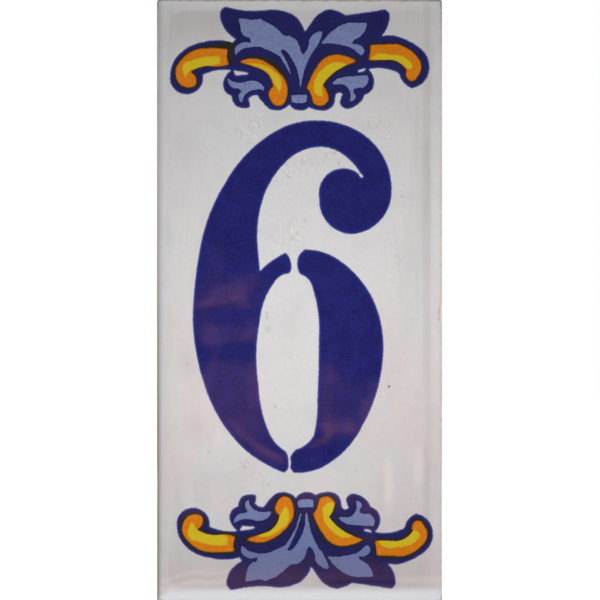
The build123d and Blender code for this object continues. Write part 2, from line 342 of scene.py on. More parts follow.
# The next colour is partly stain and partly painted shade in the rough patches
GLAZE_STAIN_AND_SHADE = (0.42, 0.38, 0.34, 1)
GLAZE_RUST = (0.64, 0.46, 0.41, 1)
CLOUDS = [
    # The two creamy clouds low on the right are a painted reflection
    (22.3, -46.5, 1.5, 8, 0.7, GLAZE_CREAM), (29.7, -42, 1.9, 7, 0.6, GLAZE_CREAM),
    (-20.5, -34.5, 1.8, 3.5, 0.3, GLAZE_CREAM), (-28, -15.7, 3, 4.5, 0.65, GLAZE_GREY),
    (-2.4, -6.2, 5, 5.5, 0.35, GLAZE_GREY), (27.3, 10, 3.5, 9, 0.45, GLAZE_GREY),
    (-28.5, 37.4, 5, 8, 0.4, GLAZE_GREY), (-26, -31.8, 3.6, 5, 0.45, GLAZE_BROWN),
    # The cool strip at x -33.9 along the left edge is a painted reflection of bluish light
    (-28.5, -41.4, 5, 5, 0.5, GLAZE_PINK), (-33.9, -18, 1.3, 45, 0.45, GLAZE_COOL),
    (-13, -41.8, 3.4, 4.5, 0.3, GLAZE_BROWN), (-24, -47, 3.2, 6, 0.3, GLAZE_BROWN),
    (35.6, 0, 0.7, 70, 0.42, GLAZE_RUST),
]
CLOUD_EDGE = (1.2, 0.2)
SPECK = (0.16, 0.13, 0.12, 1)
SPECKS = [
    (22.3, -21.4, 0.45, 0.9), (25.5, 25.9, 0.38, 0.45), (-5.9, -22.2, 0.25, 0.5),
    (-2.4, -14.2, 0.25, 0.4), (-6.1, -26.4, 0.4, 0.4), (-28, -15.9, 0.28, 0.5),
    (-22.5, -37.6, 0.28, 0.5), (-13.8, -41.4, 0.5, 0.22), (-7.8, -7.2, 1.4, 0.1),
    (14.1, -42.3, 0.45, 0.25),
]
CLAY = (0.4, 0.215, 0.135, 1)
CLAY_DARK = (0.27, 0.135, 0.085, 1)
CLAY_BELOW = (0.23, 0.17, 0.138, 1)
print("Rough patches:", len(ROUGH_PATCHES), "clouds:", len(CLOUDS), "specks:", len(SPECKS))

# %% [markdown]
# Inside the bead along the right edge, below the top edge and over the bottom one, the glaze is
# painted a little darker: this darkening is painted shade. Pale runs lie low on the tile. A band is
# four
# places: its start, the two ends of its full part and its end. A run is its level, half width, half
# width of its core and share, and where it fades in.

# %% Bands of painted shade and pale runs
INSIDE_BEAD = (2.3, 3.4)
SIDE_BAND, SIDE_HEIGHTS, SIDE_SHARE, SIDE_LEAST = (2.4, 3.4, 4, 5.4), (-38, -8), 0.35, 0.1
LOW_SIDE_HEIGHTS, LOW_SIDE_SHARE = (-60, -54, -39, -33), 0.3
WIDE_BAND, WIDE_HEIGHTS, WIDE_SHARE = (2.4, 3.4, 4.5, 7.5), (5, 25, 38, 44), 0.3
TOP_BAND, TOP_SHARE = (16, 5), 0.6
LOW_BAND, LOW_SHARE = (15, 7), 0.38
SAG, SAG_REACH, RUN_WAVE = 2.1, (9, 1), 8.0
LOW_RUNS = [
    (-68, 0.8, 0.1, 0.3, (-9, -15)),
    (-70.3, 1.1, 0.1, 0.45, (-9, -15)),
    (-69.8, 1.4, 0.2, 0.35, (20, 26)),
]


def painted_shade_bands(place, split):
    """Share of painted shade in three bands inside the right, top and bottom edges."""
    right = HALF_WIDTH - split
    high = split.other("Z")
    at_height = high.climb(*SIDE_HEIGHTS) * SIDE_SHARE + SIDE_LEAST
    at_height = at_height + high.band(*LOW_SIDE_HEIGHTS) * LOW_SIDE_SHARE
    wide = right.band(*WIDE_BAND) * high.band(*WIDE_HEIGHTS) * WIDE_SHARE
    side_band = right.band(*SIDE_BAND) * at_height + wide
    leftward = split.climb(34, -34) * 0.7 + 0.3
    top_band = (HALF_HEIGHT - high).climb(*TOP_BAND) * leftward * TOP_SHARE
    low_band = (HALF_HEIGHT + high).climb(*LOW_BAND) * LOW_SHARE
    within = gap_to_edge(place, ROLL_CORNER).climb(*INSIDE_BEAD)
    uneven = place.scaled((1, 1, 0.35)).noise(3.0, 4.5, 3.0) * 1.6 + 0.2
    return side_band.at_least((top_band + low_band) * within) * uneven


def low_runs(place, split):
    """Share of the pale runs low on the tile, which sag to the left edge."""
    sag = (split + HALF_WIDTH).climb(*SAG_REACH) * SAG
    height = split.other("Z") + sag + place.noise(RUN_WAVE, 4.9, 2.0) * 1.6 - 1.0
    total = 0.0
    for level, outer, core, share, reach in LOW_RUNS:
        line = (height - level).size().climb(outer, core)
        total = line * split.climb(*reach) * share + total
    return total


# %% [markdown]
# The colour starts as white, and everything else is mixed in over it, one after the other. Along
# the bottom edge it is whiter, partly glaze that pooled and partly a painted highlight. The rough
# patches are faintly stained, and their brown mottling is partly painted shade of their lumps.

# %% Colour of the bare glaze
PINK_CLOUD, PINK_EDGE = 11.0, (0.33, 0.62)
GREY_CLOUD, GREY_EDGE, GREY_SHARE = 6.0, (0.45, 0.75), 0.4
STREAK, STREAK_EDGE, STREAK_SHARE = 2.4, (0.48, 0.7), 0.32
GRAIN, GRAIN_EDGE, GRAIN_SHARE = 0.8, (0.25, 0.75), 0.3
POOL_AND_HIGHLIGHT, POOL_AND_HIGHLIGHT_REACH, POOL_AND_HIGHLIGHT_DROP = (4.2, 2), (4, 0.5), 1.8
STAIN_AND_SHADE, STAIN_AND_SHADE_EDGE, STAIN_AND_SHADE_SHARE = 1.2, (0.52, 0.72), 0.35


def white_glaze(place):
    """Colour of the bare glaze on the front."""
    split = place.split()
    high, aside = split.other("Z"), split.size()
    low = high.climb(35, -35) * 0.8 + 0.15
    beside = aside.climb(6, 24) * 0.8 + 0.2
    pink = place.scaled((1, 1, 0.45)).noise(PINK_CLOUD, 4.0, 4.0).climb(*PINK_EDGE)
    grey = place.noise(GREY_CLOUD, 5.0, 4.0).climb(*GREY_EDGE) * GREY_SHARE
    # Grey vertical streaks towards both sides
    streaks = place.scaled((1, 1, 0.1)).noise(STREAK, 4.7, 2.0).climb(*STREAK_EDGE)
    grey = grey + streaks * aside.climb(16, 28) * STREAK_SHARE
    grain = place.noise(GRAIN, 5.5, 3.0).climb(*GRAIN_EDGE) * GRAIN_SHARE
    # The pink, stronger low and at the sides, is partly glaze tone and partly a painted warm
    # reflection
    colour = grey.mix((pink * low * beside).mix(GLAZE_WHITE, GLAZE_PINK), GLAZE_GREY)
    # Painted shade: darker bands inside the right, top and bottom edges
    colour = grain.mix(painted_shade_bands(place, split).mix(colour, GLAZE_SHADED), GLAZE_GREY)
    colour = low_runs(place, split).mix(colour, GLAZE_RUN)
    # Whiter band along the bottom edge: partly pooled glaze, partly a painted highlight
    over_edge = HALF_HEIGHT + high + (split + HALF_WIDTH).climb(*POOL_AND_HIGHLIGHT_REACH) * POOL_AND_HIGHLIGHT_DROP
    colour = over_edge.climb(*POOL_AND_HIGHLIGHT).mix(colour, GLAZE_POOL_AND_HIGHLIGHT)
    flat = place.scaled(FLAT)
    ragged = flat.noise(2.5, 6.4, 3.0) * 0.9 - 0.45
    for x, z, wide, tall, share, tint in CLOUDS:
        far = flat.scaled((1 / wide, 0, 1 / tall)).far_from((x / wide, 0, z / tall))
        colour = ((far + ragged).climb(*CLOUD_EDGE) * share).mix(colour, tint)
    # Brown mottling in the rough patches: partly stain, partly painted shade in their lumps
    stains_and_shade = rough_share(flat) * flat.noise(STAIN_AND_SHADE, 3.9, 2.0).climb(*STAIN_AND_SHADE_EDGE) * STAIN_AND_SHADE_SHARE
    colour = stains_and_shade.mix(colour, GLAZE_STAIN_AND_SHADE)
    for x, z, radius, share in SPECKS:
        colour = (round_spot(flat, x, z, radius) * share).mix(colour, SPECK)
    return colour


# %% [markdown]
# The glaze covers the front, runs over the edge and stops on the sides in an uneven line. On the
# sharp edge it is thinnest, most of all along the top and the left, and the brown clay shows
# through. A dent in the right edge moves that brown line inwards. The darker lines along the left
# edge, stronger lower down, and along the right edge are partly clay and partly painted shade. One
# material holds both glaze and clay, because on the real tile they are one fired piece: a mask from
# the place says where there is glaze.

# %% One material for the glaze and the clay
GLAZE_END, GLAZE_END_WAVE = (-3.2, -3.6), 3.0
EDGE_LINE, EDGE_SHARE, EDGE_WEAR = (0.9, 0.2), 0.8, 0.9
LEFT_LINE, LEFT_HEIGHTS, LEFT_SHARE, LEFT_LEAST = (1.2, 0), (50, -40), 0.5, 0.42
RIGHT_LINE, RIGHT_SHARE = (1.9, 0.6), 0.1
DENT_LOW, DENT_HIGH, DENT_SLOPE, DENT_DEPTH = -5.0, -1.5, 0.4, 0.7
CORNER_SIZE = 3
CLAY_GRAIN, CLAY_ROUGHNESS, GRIT, GRIT_HEIGHT = 1.1, 0.85, 0.5, 0.12


def edge_clay_and_shade(place, split):
    """Share of the clay that shows through the glaze along the edges, with painted shade along the
    left and right edges.
    """
    high = split.other("Z")
    worn = place.noise(1.6, 8.0, 4.0) * EDGE_WEAR
    top = high.climb(55.0, HALF_HEIGHT) * 0.25
    # Along the left edge the clay line grows lower down, partly as painted shade
    left = split.climb(-HALF_WIDTH + 2, -HALF_WIDTH) * high.climb(60, -40) * 0.3
    corner = split.size() + high.size() - (HALF_WIDTH + HALF_HEIGHT - CORNER_SIZE)
    bare = top + left + corner.climb(0.0, CORNER_SIZE) * 0.4
    dent = high.band(DENT_LOW - DENT_SLOPE, DENT_LOW, DENT_HIGH, DENT_HIGH + DENT_SLOPE)
    line = (gap_to_edge(place) - split.climb(33, 34) * dent * DENT_DEPTH).size()
    thin = (line + worn - bare).climb(*EDGE_LINE) * EDGE_SHARE
    # Painted shade: darker lines along the left and right edges
    at_height = high.climb(*LEFT_HEIGHTS) * LEFT_SHARE + LEFT_LEAST
    left_shade_line = (split + HALF_WIDTH).climb(*LEFT_LINE) * at_height
    right_shade_line = (HALF_WIDTH - split).climb(*RIGHT_LINE) * RIGHT_SHARE
    return thin.at_least(left_shade_line + right_shade_line)


def tile_material():
    material, place = new_material("white_glaze_over_clay")
    split = place.split()
    front_run = place.noise(GLAZE_END_WAVE, 7.0, 3.0) * 3.0
    covered = (split.other("Y") + front_run).climb(*GLAZE_END)
    # thin holds the clay along the edges and the painted shade beside the left and right ones
    thin = edge_clay_and_shade(place, split)
    glazed = covered * (1 - thin)
    clay = place.noise(CLAY_GRAIN, 6.0, 4.0).climb(0.38, 0.68).mix(CLAY, CLAY_DARK)
    grit = place.noise(GRIT, 9.0, 4.0) * GRIT_HEIGHT
    dress(
        material,
        base_color=covered.mix(clay, thin.mix(white_glaze(place), CLAY_BELOW)),
        roughness=CLAY_ROUGHNESS - glazed * (CLAY_ROUGHNESS - GLOSS_ROUGHNESS),
        height=glazed * (glaze_relief(place) + rough_relief(place)) + (1 - glazed) * grit,
    )
    return material


WHITE_GLAZE = tile_material()
print("White glaze:", len(WHITE_GLAZE.node_tree.nodes), "nodes")

# %% [markdown]
# ## The tile
# The CAD tile is right in every size, but its front is a handful of large faces, and a wavy glaze
# needs a fine net. A copy of it is merged, because a CAD mesh is loose triangles, its flat faces
# are joined, and planes cut its front into a net that is finer towards the edge. Its stored normals
# don't fit the new net and are dropped. The cushioned edge is then put back on its true arc, with
# the glaze rounding the corners, where two arcs meet in a sharp line on the solid.

# %% Cut the front into a net
CUSHION_WIDTH, CUSHION_DROP = 1.9, 0.6
CUSHION_RADIUS = (CUSHION_WIDTH**2 + CUSHION_DROP**2) / (2 * CUSHION_DROP)
CORNER_BLEND = 4
NET, EDGE_NET, EDGE_BAND = 1.0, 0.25, 5.0
FRONT_MARGIN, NEAR_FRONT = 0.5, 0.06
WELD = 0.001 * MM
FLAT_ANGLE = math.radians(0.5)


def net_lines(half):
    """Places of the cuts across one direction, close together near both edges."""
    edge = np.arange(EDGE_NET, EDGE_BAND, EDGE_NET)
    count = round(2 * (half - EDGE_BAND) / NET)
    middle = np.linspace(-half + EDGE_BAND, half - EDGE_BAND, count + 1)
    return np.concatenate([edge - half, middle, half - edge[::-1]])


def netted_tile():
    """Copy of the CAD tile with its front cut into a net."""
    net = bmesh.new()
    net.from_mesh(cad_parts["tile"].data)
    bmesh.ops.remove_doubles(net, verts=net.verts, dist=WELD)
    bmesh.ops.dissolve_limit(net, angle_limit=FLAT_ANGLE, verts=net.verts, edges=net.edges)
    limit = -(THICKNESS - CUSHION_DROP - FRONT_MARGIN) * MM
    faces = {face for face in net.faces if face.calc_center_median().y < limit}
    part = [*faces, *{edge for face in faces for edge in face.edges}]
    for axis, half in ((Vector((1, 0, 0)), HALF_WIDTH), (Vector((0, 0, 1)), HALF_HEIGHT)):
        for line in net_lines(half) * MM:
            cut = bmesh.ops.bisect_plane(net, geom=part, plane_co=axis * line, plane_no=axis)
            part = cut["geom"]
    mesh = bpy.data.meshes.new("tile_net")
    net.to_mesh(mesh)
    net.free()
    mesh.attributes.remove(mesh.attributes["custom_normal"])
    return mesh


def true_cushion(mesh):
    """Moves the net of the front from the CAD's facets onto the true arcs of the edges."""
    places = np.empty(len(mesh.vertices) * 3)
    mesh.vertices.foreach_get("co", places)
    places = places.reshape(-1, 3) / MM
    halves = np.array([HALF_WIDTH, HALF_HEIGHT]) - CUSHION_WIDTH
    past = np.clip(np.abs(places[:, [0, 2]]) - halves, 0, CUSHION_WIDTH)
    fall = CUSHION_RADIUS - np.sqrt(CUSHION_RADIUS**2 - past**2)
    near = np.abs(places[:, 1] + THICKNESS - fall.max(axis=1)) < NEAR_FRONT
    rounded = (fall**CORNER_BLEND).sum(axis=1) ** (1 / CORNER_BLEND)
    places[near, 1] = rounded[near] - THICKNESS
    mesh.vertices.foreach_set("co", (places * MM).ravel())
    return int(near.sum())


tile = new_object("glazed_tile", netted_tile())
print("Net points set on the true front:", true_cushion(tile.data))

# %% [markdown]
# The tree for the tile moves every point of the front by the height of the glaze. A mask keeps the
# sides and the back where the clay was pressed.

# %% Lay the glaze
FRONT_BLEND = (-(THICKNESS - 0.6) * MM, -(THICKNESS - 0.1) * MM)
TILE_CREASE = math.radians(28)


def glaze_tree():
    tree, start = new_tree("lay_glaze", {"Share": "Float", "Material": "Material"})
    front = start.add("GeometryNodeInputPosition").split("Y").climb(*FRONT_BLEND)
    lift = front * glaze_height(start) * start.other("Share") * -1
    end_tree(moved(start, backwards(lift)), start.other("Material"))
    return tree


run_tree(tile, glaze_tree(), {"Share": 1.0, "Material": WHITE_GLAZE})
tile.data.shade_smooth()
tile.data.set_sharp_from_angle(angle=TILE_CREASE)
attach(tile, "root")
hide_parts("tile")

# %% [markdown]
# ## Fields of colour
# The printed colours have next to no thickness. Each one becomes a thin closed film that starts
# inside the glaze and stands a hair over it. The CAD node gives the outline. The film is a little
# larger, because its colour fades at the edge.

# %% Read the outlines
EDGE_STEP = 0.25


def outline_loops(node):
    """Outlines of a node's front: loops of (x, z) in millimetres with the field on their left."""
    solid = bmesh.new()
    solid.from_mesh(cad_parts[node].data)
    bmesh.ops.remove_doubles(solid, verts=solid.verts, dist=WELD)
    front = {face for face in solid.faces if face.normal.y < -0.9}
    following = {}
    for face in front:
        for corner in face.loops:
            if not any(other in front for other in corner.edge.link_faces if other != face):
                following[corner.vert] = corner.link_loop_next.vert
    loops = []
    while following:
        vertex = next(iter(following))
        loop = []
        while vertex in following:
            loop.append((vertex.co.x / MM, vertex.co.z / MM))
            vertex = following.pop(vertex)
        loops.append(np.array(loop))
    solid.free()
    return loops


def grown(loop, distance):
    """The loop with points no further apart than a step, moved outwards by a distance."""
    points = []
    for start, end in zip(loop, np.roll(loop, -1, axis=0)):
        parts = max(1, math.ceil(np.linalg.norm(end - start) / EDGE_STEP))
        points += [start + (end - start) * part / parts for part in range(parts)]
    points = np.array(points)
    along = np.roll(points, -1, axis=0) - np.roll(points, 1, axis=0)
    outward = np.stack([along[:, 1], -along[:, 0]], axis=1)
    return points + distance * outward / np.linalg.norm(outward, axis=1, keepdims=True)


print("Outlines of the numeral:", len(outline_loops("numeral")))

# %% [markdown]
# Each field is filled with a fine net of triangles, so that it can follow the waves and hold the
# distance from its edge at every point. Fields with thin tips have a finer net.

# %% Fill them with a net
WIDE_NET, FINE_NET = 0.5, 0.22
NET_CLEARANCE = 0.6
ASIDE = 0.02


def inside(points, loops):
    """Which points the loops wind round."""
    turns = np.zeros(len(points), int)
    for loop in loops:
        for (x0, z0), (x1, z1) in zip(loop, np.roll(loop, -1, axis=0)):
            left = (x1 - x0) * (points[:, 1] - z0) - (points[:, 0] - x0) * (z1 - z0)
            turns += (z0 <= points[:, 1]) & (points[:, 1] < z1) & (left > 0)
            turns -= (z1 <= points[:, 1]) & (points[:, 1] < z0) & (left < 0)
    return turns != 0


def inner_points(loops, net):
    """Points on a net of triangles inside the loops, clear of their edges."""
    border = np.concatenate(loops)
    low, high = border.min(axis=0), border.max(axis=0)
    rows = np.arange(low[1], high[1], net * math.sqrt(0.75))
    columns = np.arange(low[0], high[0], net)
    points = [(x + net / 2 * (row % 2), z) for row, z in enumerate(rows) for x in columns]
    points = np.array(points)
    points = points[inside(points, loops)]
    tree = KDTree(len(border))
    for index, (x, z) in enumerate(border):
        tree.insert((x, z, 0), index)
    tree.balance()
    clear = [tree.find((x, z, 0))[2] > net * NET_CLEARANCE for x, z in points]
    return points[clear]


def ring_edges(loops):
    """Pairs of numbers of the points that follow each other, if the loops stand in one list."""
    edges = []
    first = 0
    for loop in loops:
        count = len(loop)
        edges += [(first + i, first + (i + 1) % count) for i in range(count)]
        first += count
    return edges


def border_edges(loops):
    """The pairs of ring_edges that lie between the field and its ground."""
    points = np.concatenate(loops)
    edges = np.array(ring_edges(loops))
    along = points[edges[:, 1]] - points[edges[:, 0]]
    length = np.maximum(np.linalg.norm(along, axis=1, keepdims=True), 1e-9)
    aside = ASIDE * np.stack([along[:, 1], -along[:, 0]], axis=1) / length
    middle = points[edges].mean(axis=1)
    return edges[inside(middle + aside, loops) != inside(middle - aside, loops)].tolist()


def on_front(points):
    """Points (x, z) in millimetres, as places on the front of the tile in metres."""
    return [(x * MM, -THICKNESS * MM, z * MM) for x, z in points]


def filled_field(name, loops, limits, net):
    """Flat net of triangles that fills the loops as far as the limits go, facing the front."""
    rings = loops + limits
    points = np.concatenate([*rings, inner_points(loops, net)])
    found = delaunay_2d_cdt([Vector(p) for p in points], ring_edges(rings), [], 0, 1e-6)
    corners = np.array([tuple(p) for p in found[0]])
    triangles = np.array(found[2])
    middles = corners[triangles].mean(axis=1)
    keep = inside(middles, loops)
    if limits:
        keep &= inside(middles, limits)
    mesh = bpy.data.meshes.new(name)
    mesh.from_pydata(on_front(corners), [], triangles[keep].tolist())
    sheet = bmesh.new()
    sheet.from_mesh(mesh)
    loose = [vertex for vertex in sheet.verts if not vertex.link_faces]
    bmesh.ops.delete(sheet, geom=loose, context="VERTS")
    turned = [face for face in sheet.faces if face.normal.y > 0]
    bmesh.ops.reverse_faces(sheet, faces=turned)
    sheet.to_mesh(mesh)
    sheet.free()
    return new_object(name, mesh)


# %% [markdown]
# The tree for a film measures how far each point is from the film's border, makes the edge a little
# ragged, lays the film on the glaze and gives it a back inside the glaze. The dark outline is
# printed over the orange, and where the two overlap the colour turns to an olive black. For that
# the tree also measures the distance to the orange fields. The upper left ones were printed too far
# to the right, and their overlap is the widest.

# %% The tree for a film
FILM_STEP, FILM_ROOT, FILM_WELD = 0.02 * MM, 0.06 * MM, 0.002 * MM
RAGGED_GRAIN, RAGGED_REACH = 0.9, 0.6 * MM
SHIFT = Vector((1.3, 0, 1.1)) * MM
OUTER_SHIFTED, INNER_SHIFTED = (-26, -19, -15, -14), (-15, -14, -6, -2)
INNER_SHARE = 0.45


def shape_of(thing):
    """Geometry of an object that is an input of the tree."""
    return thing.add("GeometryNodeObjectInfo", inputs={"Object": thing}, output="Geometry")


def printed_under(start):
    """The orange fields where they lie under the dark outline."""
    split = start.add("GeometryNodeInputPosition").scaled((1 / MM, 1 / MM, 1 / MM)).split()
    share = split.band(*OUTER_SHIFTED) + split.band(*INNER_SHIFTED) * INNER_SHARE
    share = share * split.other("Z").climb(-1, 1)
    return moved(shape_of(start.other("Under Print")), start.other("Shift").times(share))


def distance_to(start, target, element):
    settings = {"target_element": element}
    return start.add("GeometryNodeProximity", settings, {0: target}, output="Distance")


def film_tree():
    tree, start = new_tree(
        "fire_colour",
        {"Height": "Float", "Ragged": "Float", "Border": "Object", "Under Print": "Object",
         "Shift": "Vector", "Material": "Material"},
    )
    distance = distance_to(start, shape_of(start.other("Border")), "EDGES")
    overlap = distance_to(start, printed_under(start), "FACES")
    sheet = start
    for title, wire in (("edge", distance), ("under_print", overlap)):
        sheet = start.add(
            "GeometryNodeStoreNamedAttribute", {"data_type": "FLOAT", "domain": "POINT"},
            {"Geometry": sheet, "Name": title, "Value": wire},
        )
    place = start.add("GeometryNodeInputPosition").scaled((1 / MM, 0, 1 / MM))
    wobble = place.noise(RAGGED_GRAIN, 10.0, 2.0, output=1).vectors("SUBTRACT", (0.5, 0.5, 0.5))
    reach = distance.climb(RAGGED_REACH, 0.0) * start.other("Ragged")
    sheet = moved(sheet, wobble.scaled(FLAT).times(reach))
    sheet = moved(sheet, backwards((start.other("Height") + glaze_height(start)) * -1))
    depth = backwards(start.other("Height") + FILM_ROOT)
    root = start.add(
        "GeometryNodeExtrudeMesh", {"mode": "FACES"},
        {"Mesh": sheet, "Offset": depth, "Offset Scale": 1.0, "Individual": False},
    )
    root = start.add("GeometryNodeFlipFaces", inputs={"Mesh": root})
    film = start.add("GeometryNodeJoinGeometry", inputs={0: root})
    tree.links.new(sheet.socket, film.socket.node.inputs[0])
    welded = {"Geometry": film, "Distance": FILM_WELD}
    film = start.add("GeometryNodeMergeByDistance", inputs=welded)
    end_tree(film, start.other("Material"))
    return tree


FILM_TREE = film_tree()
print("Film tree:", len(FILM_TREE.nodes), "nodes")

# %% [markdown]
# The print on the real tile isn't quite as the CAD part draws it. The lower outline is a little
# tighter, the left leaf has a rounder end and some of the yellow lights lie further along their
# scroll. Each run below is a side, the limits of its middle, where the move starts and is full, and
# the moves across and up.

# %% Outlines as they were printed
LOWER_LIFT, LOWER_LIFT_LESS, LOWER_PULL = 0.5, 0.25, 0.6
HUMP_PLACE, HUMP_LEAN, HUMP_HALF, HUMP_FROM, HUMP_HEIGHT = 9.1, 0.8, 3.5, 69, 0.5
LIGHT_RUNS = [
    (-1, 2, 17, 13, 7, 0.9, 0.6),
    (1, -17, 0, -8, -12, -1.6, 0.45),
    (1, 17, 33, 24, 20, -0.8, 0),
]


def rise(values, low, high):
    """0 up to low, 1 from high on and a smooth climb between, for numbers."""
    share = np.clip((values - low) / (high - low), 0, 1)
    return share * share * (3 - 2 * share)


def printed_tighter(loop):
    """The loop as the lower outline was printed: higher at the bottom and shorter on the right."""
    x, z = loop.T
    lower = z.mean() < 0
    lift = (LOWER_LIFT - LOWER_LIFT_LESS * rise(x, 0, 6)) * rise(z, -63, -70)
    return loop + lower * np.stack([-LOWER_PULL * rise(x, 22, 33), lift], axis=1)


def rounder_leaf(loop):
    """A pale field as it was printed: the end of the left leaf has no hump."""
    x, z = loop.T
    side = np.sign(z)
    hump = np.clip(1 - ((x + HUMP_PLACE + HUMP_LEAN * side) / HUMP_HALF) ** 2, 0, 1)
    drop = HUMP_HEIGHT * hump * side * (np.abs(z) > HUMP_FROM)
    return loop - np.stack([np.zeros(len(x)), drop], axis=1)


def run_along(loop):
    """A yellow light as it was printed, further along its scroll."""
    x = loop[:, 0]
    middle, height = loop.mean(axis=0)
    for side, low, high, start, full, across, up in LIGHT_RUNS:
        if side * height > 0 and low < middle < high:
            loop = loop + np.stack([across * rise(x, start, full), np.full(len(x), up)], axis=1)
    return loop


# %% [markdown]
# One function makes the film of a CAD node and replaces the node with it. Growth is a pair, for the
# upper and the lower fields. Fields that aren't joined keep a pale line where they meet.

# %% A film for one node
FILM_CREASE = math.radians(40)


def fired_film(name, node, material, layer, ragged, growth, under_print=None, within=None,
               more=(), settle=None, joined=True, net=WIDE_NET):
    """Film for one CAD node, which it replaces."""
    loops = [np.array(loop) for loop in (*outline_loops(node), *more)]
    if settle:
        loops = [settle(loop) for loop in loops]
    loops = [grown(loop, growth[0 if loop[:, 1].mean() > 0 else 1]) for loop in loops]
    limits = [grown(loop, 0) for loop in outline_loops(within)] if within else []
    film = filled_field(name, loops, limits, net)
    border_mesh = bpy.data.meshes.new("border")
    edges = border_edges(loops) if joined else ring_edges(loops)
    border_mesh.from_pydata(on_front(np.concatenate(loops)), edges, [])
    border = new_object("border", border_mesh)
    run_tree(film, FILM_TREE, {
        "Height": layer * FILM_STEP, "Ragged": ragged * MM, "Border": border,
        "Under Print": under_print, "Shift": SHIFT, "Material": material,
    })
    bpy.data.objects.remove(border)
    film.data.shade_smooth()
    film.data.set_sharp_from_angle(angle=FILM_CREASE)
    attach(film, "root")
    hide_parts(node)
    return film


# %% [markdown]
# ## Fired colours
# Each colour has the same gloss as the glaze. Inside a field the pigment is a little uneven and
# grainy. At its edge it thins out, and what lies below shows: white glaze under the blues, navy
# under the pale blue, olive black under the orange and orange under the yellow. Thin cobalt is a
# brighter blue than thick cobalt, so the blues pass through a bright rim before they end. The films
# hold the distance from their border as the attribute `edge`.

# %% Colours of the print
COBALT = (0.0155, 0.015, 0.112, 1)
COBALT_LIGHT = (0.025, 0.029, 0.21, 1)
BLUE_THIN = (0.105, 0.12, 0.33, 1)
NAVY = (0.02, 0.0185, 0.096, 1)
NAVY_LOW = (0.02, 0.0175, 0.074, 1)
NAVY_LIGHT = (0.027, 0.028, 0.175, 1)
OLIVE = (0.03, 0.027, 0.018, 1)
PALE_BLUE = (0.225, 0.27, 0.49, 1)
PALE_BLUE_DARK = (0.15, 0.185, 0.37, 1)
ORANGE = (0.755, 0.238, 0.012, 1)
ORANGE_RED = (0.63, 0.14, 0.009, 1)
YELLOW = (0.69, 0.54, 0.024, 1)
BLUE_END, BLUE_RIM, BLUE_BODY = (0.0, 0.3), (0.22, 0.5), (0.35, 1.1)
PRINT_GRAIN, BLUE_GRAIN = 0.6, 0.45
OVERLAP, OVERLAP_WAVE = (0.58, -0.05), 2.2


def attribute(place, name):
    """Attribute of the mesh, in millimetres."""
    return place.add("ShaderNodeAttribute", {"attribute_name": name}, output="Fac") * (1 / MM)


def thinning(place, start, end):
    """0 at the border of a film and 1 where it is thick, along a grainy line."""
    grain = (place.noise(0.5, 11.0, 2.0) - 0.5) * 0.35
    return (attribute(place, "edge") + grain).climb(start, end)


def grained(place, colour, grain_colour, size, share):
    """Colour with fine grain of a second colour."""
    return (place.noise(size, 16.0, 3.0).climb(0.40, 0.64) * share).mix(colour, grain_colour)


def blue_over_white(place, deep, light):
    """Blue on white glaze: bright where it is thin, deep where it is thick."""
    uneven = place.noise(4.0, 12.0, 5.0).climb(0.35, 0.7) * 0.35
    body = grained(place, uneven.mix(deep, light), light, BLUE_GRAIN, 0.4)
    body = thinning(place, *BLUE_BODY).mix(light, body)
    return thinning(place, *BLUE_RIM).mix(BLUE_THIN, body)


def cobalt_colour(place):
    blue = blue_over_white(place, COBALT, COBALT_LIGHT)
    return thinning(place, *BLUE_END).mix(white_glaze(place), blue)


def navy_colour(place):
    uneven = (place.noise(OVERLAP_WAVE, 14.0, 3.0) - 0.5) * 1.1
    low = place.split("Z").climb(1, -1)
    overlap = (attribute(place, "under_print") + uneven - low * 0.1).climb(*OVERLAP)
    blue = overlap.mix(blue_over_white(place, low.mix(NAVY, NAVY_LOW), NAVY_LIGHT), OLIVE)
    return thinning(place, *BLUE_END).mix(white_glaze(place), blue)


def pale_blue_colour(place):
    low = place.split("Z").climb(-46, -66) * 0.7
    body = low.mix(PALE_BLUE, PALE_BLUE_DARK)
    body = grained(place, body, PALE_BLUE_DARK, PRINT_GRAIN, 0.6)
    return thinning(place, 0.0, 0.2).mix(NAVY_LIGHT, body)


def orange_body(place):
    return grained(place, ORANGE, ORANGE_RED, PRINT_GRAIN, 0.45)


def orange_colour(place):
    return thinning(place, 0.0, 0.45).mix(OLIVE, orange_body(place))


def yellow_colour(place):
    body = grained(place, YELLOW, ORANGE, PRINT_GRAIN, 0.15)
    return thinning(place, 0.05, 0.5).mix(orange_body(place), body)


def fired_colour(name, colour):
    material, place = new_material(name)
    dress(material, base_color=colour(place), height=glaze_relief(place))
    return material


cobalt = fired_colour("cobalt_blue", cobalt_colour)
navy = fired_colour("navy_blue", navy_colour)
pale_blue = fired_colour("pale_blue", pale_blue_colour)
orange = fired_colour("orange", orange_colour)
yellow = fired_colour("yellow", yellow_colour)

# %% [markdown]
# The scrolls come before the outline, which measures its overlap from them. A thin vein and the tip
# of the lower stem, which the CAD part leaves out, are added to the pale fields.

# %% Five films
VEINS = [
    [(-0.75, -57), (-0.10, -54.9), (0.35, -53), (-0.24, -54.9)],
    [(1.72, -57.2), (1.92, -54.8), (1.74, -52.8), (1.54, -54.8)],
]

